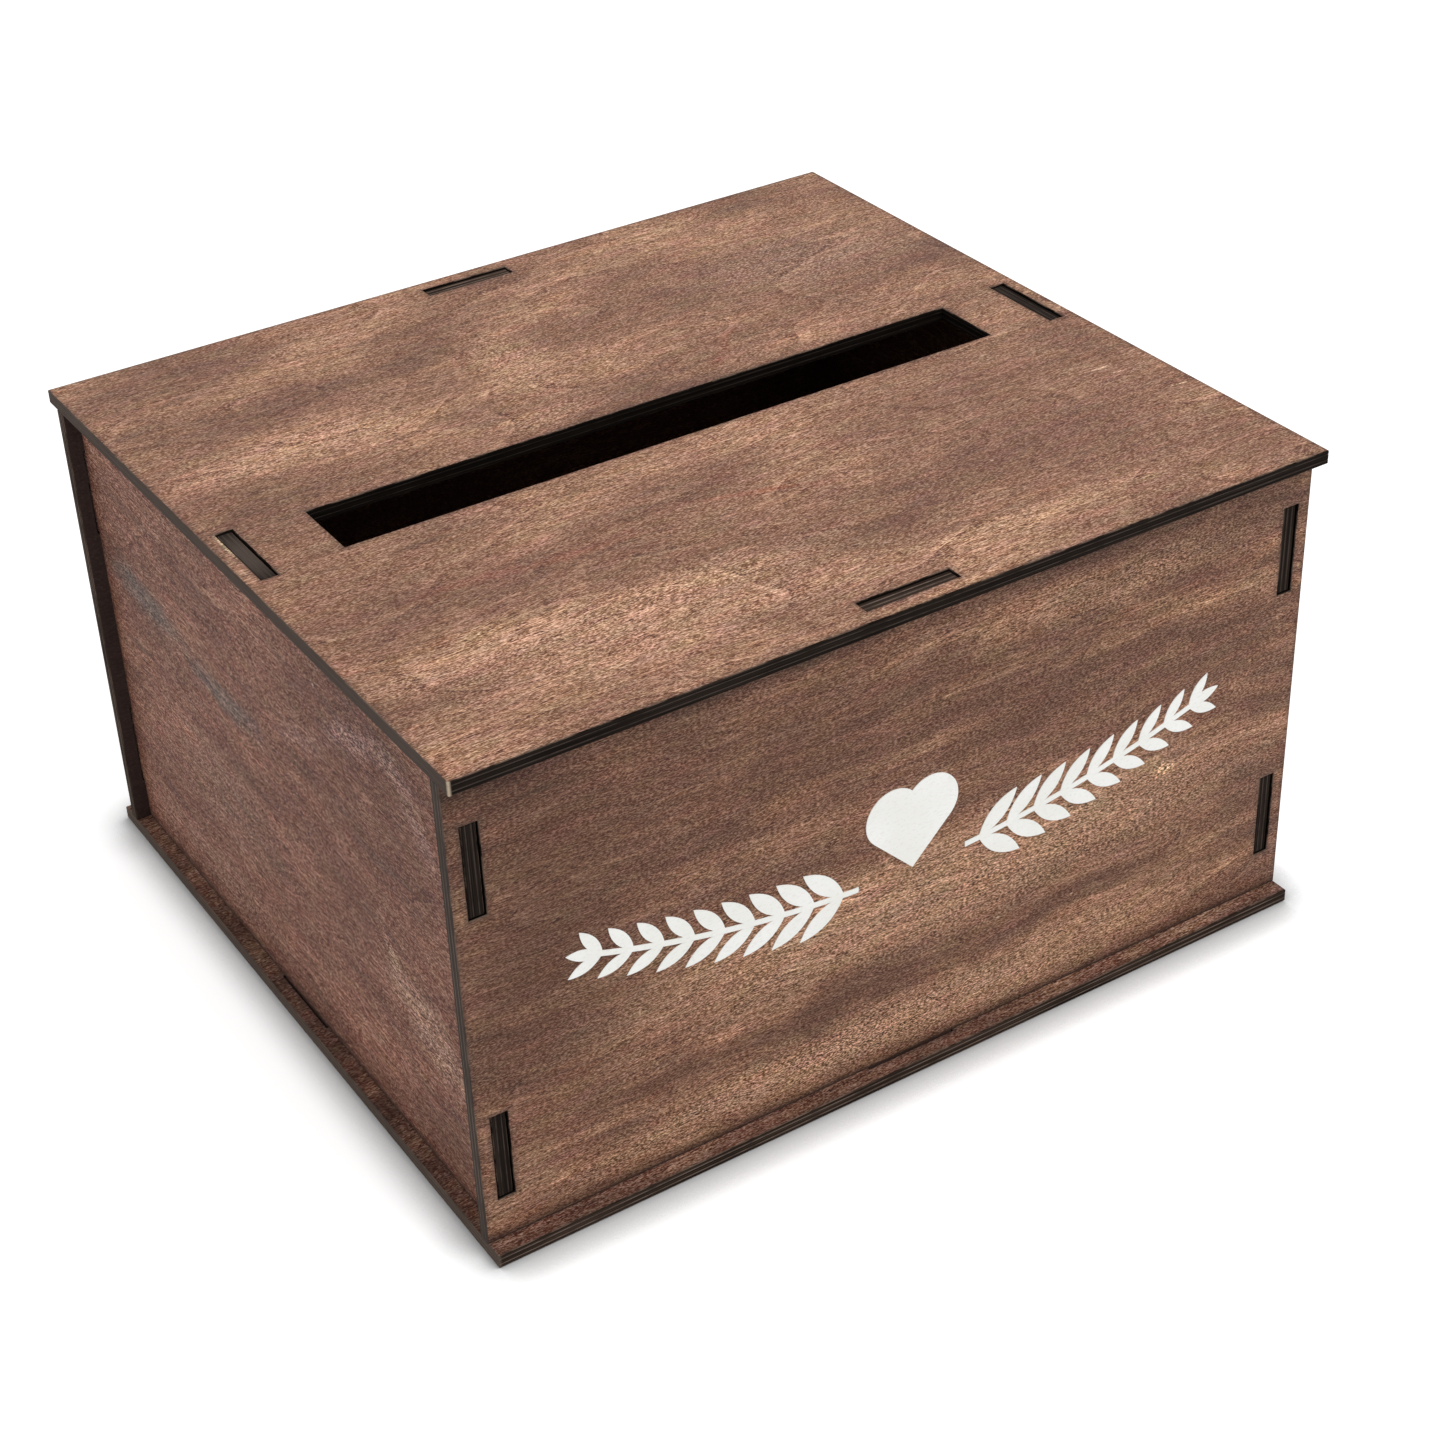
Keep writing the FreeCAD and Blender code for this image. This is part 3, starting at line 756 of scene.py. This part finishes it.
def leafy_spray_tree(sizes, material):
    """The whole ornament, flat, then stood up against the wall; the heart comes in as its mesh."""
    tree = bpy.data.node_groups.new("leafy_spray", "GeometryNodeTree")
    tree.interface.new_socket("Heart", in_out="INPUT", socket_type="NodeSocketGeometry")
    identifiers = {}
    for label, value in sizes.items():
        kind = "NodeSocketInt" if isinstance(value, int) else "NodeSocketFloat"
        kind = "NodeSocketVector" if isinstance(value, tuple) else kind
        identifiers[label] = tree.interface.new_socket(label, in_out="INPUT", socket_type=kind).identifier
    tree.interface.new_socket("Ornament", in_out="OUTPUT", socket_type="NodeSocketGeometry")
    given = put(tree, "NodeGroupInput").outputs
    together = put(tree, "GeometryNodeJoinGeometry")
    for shape in (spray_leaves(tree, given), spray_stem(tree, given, 1.0), spray_stem(tree, given, -1.0),
                  given["Heart"]):
        tree.links.new(shape, together.inputs[0])
    stood = put(tree, "GeometryNodeTransform", {"Geometry": together.outputs[0],
                "Translation": given["Wall Place"], "Rotation": (math.pi / 2, 0.0, 0.0)}).outputs[0]
    real = put(tree, "GeometryNodeRealizeInstances", {"Geometry": stood}).outputs[0]
    done = put(tree, "GeometryNodeSetMaterial", {"Geometry": real, "Material": material}).outputs[0]
    put(tree, "NodeGroupOutput", {0: done})
    return tree, identifiers


def white_film():
    """Matte white film: faintly mottled, with the wood's grain just showing through as a fine bump."""
    material, tree, shader = new_material("white_film")
    grain = grain_coordinates(tree, "xzy")
    fibres = place_group(tree, fibre_flecks, {"Vector": grain, "Fleck Length": 0.0014, "Fleck Width": 0.0006,
                         "Wander": 0.5})
    cloud = noise(tree, vector_calc(tree, "MULTIPLY", grain, (60.0, 60.0, 60.0)), 3.0, 0.5)
    colour = blend_colour(tree, ease(tree, cloud, 0.3, 0.7), paint(236, 236, 231), paint(242, 242, 239))
    colour = blend_colour(tree, calc(tree, "MULTIPLY", fibres["Dark"], 0.25), colour, paint(205, 203, 196))
    tree.links.new(colour, shader.inputs["Base Color"])
    tree.links.new(ease(tree, cloud, 0.3, 0.7, 0.5, 0.62), shader.inputs["Roughness"])
    bump = put(tree, "ShaderNodeBump", {"Height": fibres["Fleck"], "Strength": 0.12, "Distance": 0.00008})
    tree.links.new(bump.outputs[0], shader.inputs["Normal"])
    return material


leaf_length = 0.019
leaf_half_width = 0.003
leaf_film = film * 0.8
ornament_sizes = {
    "Leaf Pairs": 9, "Leaf Length": leaf_length, "Tip Leaf Length": 0.0115,
    "Leaf Half Width": leaf_half_width / leaf_length, "Leaf Angle": math.radians(38),
    "Leaf Film": leaf_film, "Film": film, "Stem Width": 0.0018, "Spray Radius": spray_radius,
    "Spray Middle": spray_middle, "Start Angle": spray_start, "End Angle": spray_end,
    "Wall Place": (0.0, film_high.y, wall_middle),
}
film_material = white_film()
ornament_tree, ornament_inputs = leafy_spray_tree(ornament_sizes, film_material)
leaf_ornament = bpy.data.objects.new("leaf_ornament", heart_mesh())
bpy.context.scene.collection.objects.link(leaf_ornament)
growth = leaf_ornament.modifiers.new("leafy_spray", "NODES")
growth.node_group = ornament_tree
for label, value in ornament_sizes.items():
    growth[ornament_inputs[label]] = value
bpy.context.view_layer.update()
evaluated = leaf_ornament.evaluated_get(bpy.context.evaluated_depsgraph_get())
ornament_mesh = bpy.data.meshes.new_from_object(evaluated)
leaf_ornament.modifiers.remove(growth)
leaf_ornament.data = ornament_mesh
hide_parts("front_ornament")
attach(leaf_ornament, "walls")

# Lid: a loose board of the same stained plywood, the size of the base, with the grain along its width.
# Cards go in through the long slot. The walls' upper tabs come up into four small slots to hold it in place.

card_slot_half_length = 0.2286 / 2
card_slot_half_width = 0.0254 / 2
lid_slots = wall_tab_slots() + [slot_loop(0.0, 0.0, card_slot_half_length, card_slot_half_width)]
lid_browns = (paint(113, 79, 63), paint(146, 106, 83), paint(174, 129, 99))
lid_tints = {"dark": paint(114, 80, 66), "light": paint(186, 142, 112), "red": paint(154, 96, 74),
             "grey": paint(158, 124, 106), "fleck": paint(156, 128, 112), "pore": paint(78, 51, 44),
             "speck": paint(224, 196, 168), "scratch": paint(220, 182, 150),
             "warm": paint(130, 92, 74), "painted_light_sliver": paint(206, 178, 140)}
# The last mark is painted light: a pale sliver at the outer end of the left tab slot, where light shows
# through the gap.
lid_marks = [(-113, 116, 42, 19, 0, "dark", 0.65), (-58, 112, 28, 7, 3, "light", 0.45),
             (-101, 76, 40, 11, 2, "dark", 0.65), (-101, 50, 44, 13, 0, "light", 0.70),
             (-47, 53, 17, 25, 0, "dark", 0.35), (-17, 61, 13, 27, 0, "light", 0.50),
             (-30, 24, 26, 6, 0, "light", 0.40), (100, 73, 48, 23, 0, "grey", 0.40),
             (140, 50, 9, 24, 0, "dark", 0.55), (43, 32, 17, 2.4, 50, "red", 0.40),
             (-96, -58, 60, 17, 0, "dark", 0.60), (-75, -52, 44, 3.0, -2, "red", 0.45),
             (-74, -88, 78, 12, -1, "light", 0.65), (-2, -55, 21, 1.7, -17, "red", 0.65),
             (72, -42, 46, 16, 0, "dark", 0.35), (90, -80, 31, 19, -8, "dark", 0.50),
             (134, -34, 13, 24, 0, "dark", 0.50), (131, -116, 17, 18, 0, "dark", 0.40),
             (92, -62, 66, 70, 0, "warm", 0.60), (-60, -104, 70, 16, 0, "light", 0.40),
             (49, -113, 56, 6, 0, "light", 0.35), (127, -52, 4.5, 0.7, 0, "scratch", 0.50),
             (130, -57, 3.0, 0.6, 0, "scratch", 0.50), (139, -74.5, 4.0, 0.6, -8, "scratch", 0.80),
             (-141.9, 8.0, 9.0, 0.8, 90, "painted_light_sliver", 0.95)]
lid_veneer = stained_veneer("lid_veneer", "xyz", (0.0, 0.0, 0.0), lid_browns, patch=(0.08, 0.032),
                            contrast=1.05, streaky=0.7, flecky=1.25, marks=lid_marks, tints=lid_tints)
inner_lid_veneer = stained_veneer("inner_lid_veneer", "xyz", (0.6, 3.6, 0.0), inner_browns,
                                  patch=(0.10, 0.02), contrast=0.8, streaky=0.8, flecky=1.2, marks=[],
                                  tints=inner_tints)
lid_left, lid_front = lid_low.x * 1000, lid_low.y * 1000
# Painted light: the lid's whole left edge is made paler, with a painted highlight at its front left corner.
lid_painted_light = [(lid_left, 0, 1, whole_board, painted_light_edge, 0.45),
            (lid_left, lid_front, 0.9, 0.9, paint(186, 168, 146), 0.85)]
lid_board = cut_board("lid_board", base_outline, lid_slots, lid_low.z, lid_high.z, "xyz",
                      (inner_lid_veneer, lid_veneer),
                      charred_edges("lid", "xyz", lid_low.z, lightness=1.0, painted_light_places=lid_painted_light,
                                    slot_shade_lightness=0.68))
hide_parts("lid_panel")
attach(lid_board, "lid")

# Studio: a plain white floor that runs out of the picture, with soft light from all round and a large
# soft lamp above and in front of the box.

floor_half = 4.0
floor_glow = 0.75
left_of_box, under_box = -0.165, -0.135
soft_contact, deep_contact = 1.4, 5.4


def seen_directly(tree):
    """1 for a ray from the camera, a reflection or a clear piece, and 0 for scattered light."""
    path = put(tree, "ShaderNodeLightPath").outputs
    mirrored = calc(tree, "MAXIMUM", path["Is Glossy Ray"], path["Is Transmission Ray"])
    return calc(tree, "MAXIMUM", path["Is Camera Ray"], mirrored)


floor_mesh = bpy.data.meshes.new("studio_floor")
floor_mesh.from_pydata([(-floor_half, -floor_half, 0.0), (floor_half, -floor_half, 0.0),
                        (floor_half, floor_half, 0.0), (-floor_half, floor_half, 0.0)], [], [(0, 1, 2, 3)])
floor = bpy.data.objects.new("studio_floor", floor_mesh)
floor.location.z = -0.0002
bpy.context.scene.collection.objects.link(floor)
floor_paint, tree, shader = new_material("studio_white")
shader.inputs["Roughness"].default_value = 0.9
shader.inputs["Specular IOR Level"].default_value = 0.1
seen = seen_directly(tree)
floor_tone = blend_colour(tree, seen, (0.86, 0.86, 0.86, 1.0), (0.5, 0.5, 0.5, 1.0))
tree.links.new(floor_tone, shader.inputs["Base Color"])
# The floor glows white for the camera, and ambient occlusion dims the glow near the box: a shader-made
# contact shadow, kept softer to the left of the box than in front of and under it.
near_object = put(tree, "ShaderNodeAmbientOcclusion", {"Distance": 0.02}, samples=8).outputs["AO"]
floor_place = put(tree, "ShaderNodeTexCoord").outputs["Object"]
floor_x = put(tree, "ShaderNodeSeparateXYZ", {0: floor_place}).outputs[0]
depth = ease(tree, floor_x, left_of_box, under_box, soft_contact, deep_contact)
contact_shadow = calc(tree, "POWER", near_object, depth)
glow = calc(tree, "MULTIPLY", calc(tree, "MULTIPLY", contact_shadow, seen), floor_glow)
tree.links.new(glow, shader.inputs["Emission Strength"])
shader.inputs["Emission Color"].default_value = (1.0, 1.0, 1.0, 1.0)
floor_mesh.materials.append(floor_paint)

world = bpy.data.worlds.new("studio_light")
bpy.context.scene.world = world
world.use_nodes = True
tree = world.node_tree
sky = tree.nodes["Background"]
sky.inputs["Color"].default_value = (1.0, 1.0, 1.0, 1.0)
direct = seen_directly(tree)
soft_light = 0.72
tree.links.new(calc(tree, "MULTIPLY_ADD", direct, 1.0 - soft_light, soft_light), sky.inputs["Strength"])

lamp_data = bpy.data.lights.new("soft_lamp", "AREA")
lamp_data.shape = "DISK"
lamp_data.size = 1.4
lamp_data.energy = 22.0
lamp = bpy.data.objects.new("soft_lamp", lamp_data)
lamp.location = (0.45, -1.1, 2.0)
lamp.rotation_mode = "QUATERNION"
lamp.rotation_quaternion = (Vector((0.0, 0.0, 0.1)) - lamp.location).to_track_quat("-Z", "Y")
bpy.context.scene.collection.objects.link(lamp)

# Camera: above the left front corner of the box, looking down on the lid, with the photograph's frame.
# Its place and lens spread the misfit between the box's known sizes and the corners in the photograph.

photo_pixels = 1445
focal_pixels = 2747.1
camera_place = (-0.3798, -0.6434, 0.5479)
forward = Vector((0.4372, 0.7103, -0.5517)).normalized()
roll = math.radians(-2.321)
level_right = forward.cross(Vector((0.0, 0.0, 1.0))).normalized()
level_up = level_right.cross(forward)
right = math.cos(roll) * level_right + math.sin(roll) * level_up
up = -math.sin(roll) * level_right + math.cos(roll) * level_up
camera_data = bpy.data.cameras.new("photo_camera")
camera_data.sensor_width = 36.0
camera_data.lens = focal_pixels / photo_pixels * camera_data.sensor_width
camera = bpy.data.objects.new("photo_camera", camera_data)
turn = Matrix((right, up, -forward)).transposed().to_4x4()
camera.matrix_world = Matrix.Translation(camera_place) @ turn
bpy.context.scene.collection.objects.link(camera)
bpy.context.scene.camera = camera
bpy.context.scene.view_settings.view_transform = "Standard"
